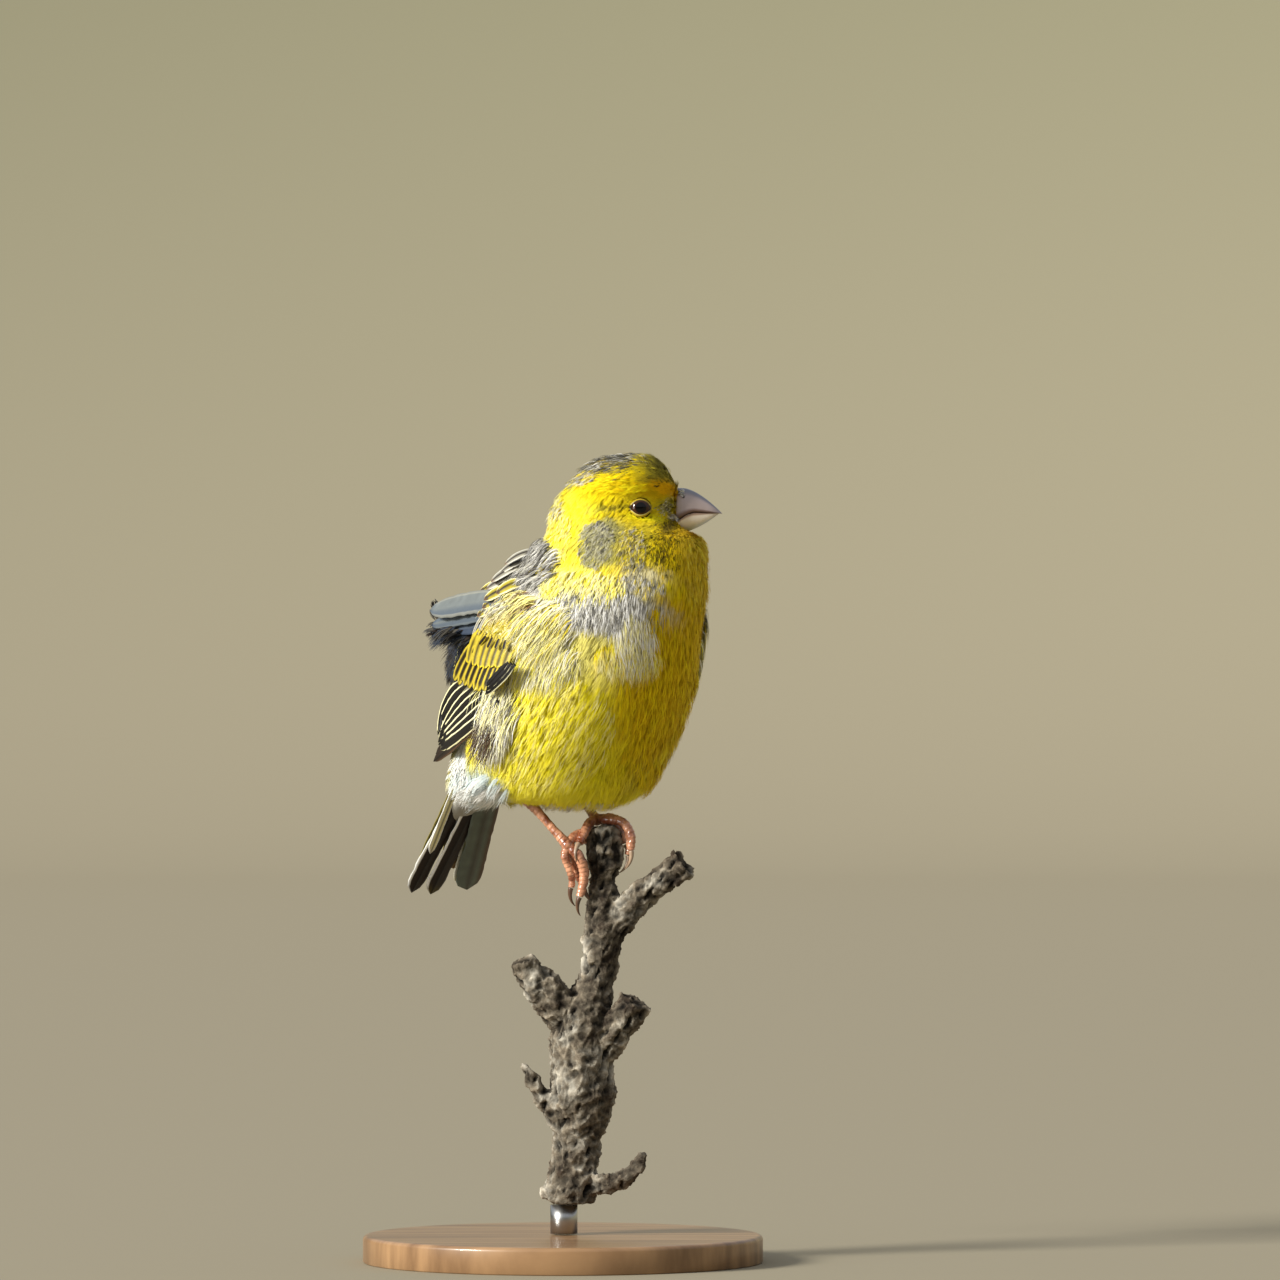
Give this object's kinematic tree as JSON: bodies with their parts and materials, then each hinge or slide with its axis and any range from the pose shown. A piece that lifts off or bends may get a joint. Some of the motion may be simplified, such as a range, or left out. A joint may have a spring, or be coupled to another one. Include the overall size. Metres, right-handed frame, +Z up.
{
  "type": "still model of a wild canary perched on a cut stem",
  "caption": "Life-size still model of a fluffed-up wild canary gripping a dead woody stem, held by a short rod on a flat round display base",
  "frame": {"origin": "centre of the underside of the stand's round base", "axes": "+Z up along the stem; +X towards the tip of the bill as seen in the picture; +Y away from the viewer"},
  "size_m": [0.088, 0.088, 0.1772],
  "materials": {
    "plumage": "yellow plumage with olive and grey markings",
    "wing": "dark feathers edged yellow",
    "tail": "dark brown feathers with pale edges",
    "bill": "pinkish-grey horn",
    "eye": "wet dark brown",
    "leg": "scaly pink-brown skin",
    "claw": "brown horn",
    "bark": "rough weathered grey-brown bark",
    "stand_metal": "satin steel",
    "stand": "satin varnished wood"
  },
  "bodies": {
    "root": {"head": "plumage", "neck": "plumage", "torso": "plumage", "wing_right": "wing", "wing_left": "wing", "tail": "tail", "bill_upper": "bill", "bill_lower": "bill", "eye_right": "eye", "eye_left": "eye", "shank_right": "leg", "shank_left": "leg", "foot_right": "leg", "foot_left": "leg", "claw_right_inner": "claw", "claw_right_middle": "claw", "claw_right_outer": "claw", "claw_right_hind": "claw", "claw_left_inner": "claw", "claw_left_middle": "claw", "claw_left_outer": "claw", "claw_left_hind": "claw", "perch": "bark", "stand_rod": "stand_metal", "stand_base": "stand"}
  },
  "joints": []
}
